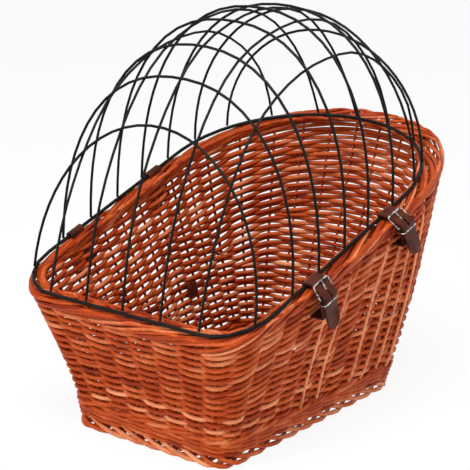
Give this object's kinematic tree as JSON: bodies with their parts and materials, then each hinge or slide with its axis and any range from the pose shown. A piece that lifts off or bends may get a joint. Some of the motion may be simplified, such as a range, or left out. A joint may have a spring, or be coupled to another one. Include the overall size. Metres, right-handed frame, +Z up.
{
  "type": "dog bicycle basket",
  "caption": "Wicker bicycle basket for a small dog, with a slanting rim, a domed black wire cage hinged along one long side and brown leather straps with metal buckles.",
  "frame": {"origin": "on the floor plane under the middle of the whole basket, buckles included", "axes": "+X from the low front to the high back, +Y to the side where the cage is hinged, +Z up"},
  "size_m": [0.4536, 0.3425, 0.4413],
  "materials": {
    "willow": "satin varnish over woven willow",
    "black_wire": "smooth black coat",
    "brown_leather": "smooth dark brown",
    "nickel": "nickel plated"
  },
  "bodies": {
    "basket": {"floor_mat": "willow", "foot_border": "willow", "lower_waling": "willow", "side_weave": "willow", "top_border": "willow", "inner_tab": "brown_leather", "strap_a": "brown_leather", "strap_b": "brown_leather", "strap_c": "brown_leather", "strap_d": "brown_leather", "buckle_a": "nickel", "buckle_b": "nickel", "buckle_c": "nickel", "buckle_d": "nickel", "keeper_a": "nickel", "keeper_b": "nickel", "keeper_c": "nickel", "keeper_d": "nickel"},
    "cage": {"cage_ring": "black_wire", "hoop_1": "black_wire", "hoop_2": "black_wire", "hoop_3": "black_wire", "hoop_4": "black_wire", "hoop_5": "black_wire", "hoop_6": "black_wire", "hoop_7": "black_wire", "hoop_8": "black_wire", "rail_1": "black_wire", "rail_2": "black_wire", "rail_3": "black_wire", "rail_4": "black_wire", "rail_5": "black_wire"},
    "tongue_a": {"tongue_a": "nickel"},
    "tongue_b": {"tongue_b": "nickel"},
    "tongue_c": {"tongue_c": "nickel"},
    "tongue_d": {"tongue_d": "nickel"}
  },
  "joints": [
    {"name": "cage_hinge", "type": "hinge", "parent": "basket", "child": "cage", "pos_m": [-0.05175, 0.1623, 0.21435], "axis": [-0.9568, 0, -0.2907], "range_deg": [0, 90], "deforming": ["strap_a", "strap_b"]},
    {"name": "tongue_a_hinge", "type": "hinge", "parent": "basket", "child": "tongue_a", "pos_m": [-0.10594, -0.16173, 0.18398], "axis": [0.9568, 0, 0.2907], "range_deg": [0, 90], "deforming": ["strap_a"]},
    {"name": "tongue_b_hinge", "type": "hinge", "parent": "basket", "child": "tongue_b", "pos_m": [0.02905, -0.16554, 0.22765], "axis": [0.9568, 0, 0.2907], "range_deg": [0, 90], "deforming": ["strap_b"]},
    {"name": "tongue_c_hinge", "type": "hinge", "parent": "basket", "child": "tongue_c", "pos_m": [-0.11662, 0.1628, 0.17273], "axis": [-0.9568, 0, -0.2907], "range_deg": [0, 90], "deforming": ["strap_c"]},
    {"name": "tongue_d_hinge", "type": "hinge", "parent": "basket", "child": "tongue_d", "pos_m": [0.01438, 0.16566, 0.21344], "axis": [-0.9568, 0, -0.2907], "range_deg": [0, 90], "deforming": ["strap_d"]}
  ]
}
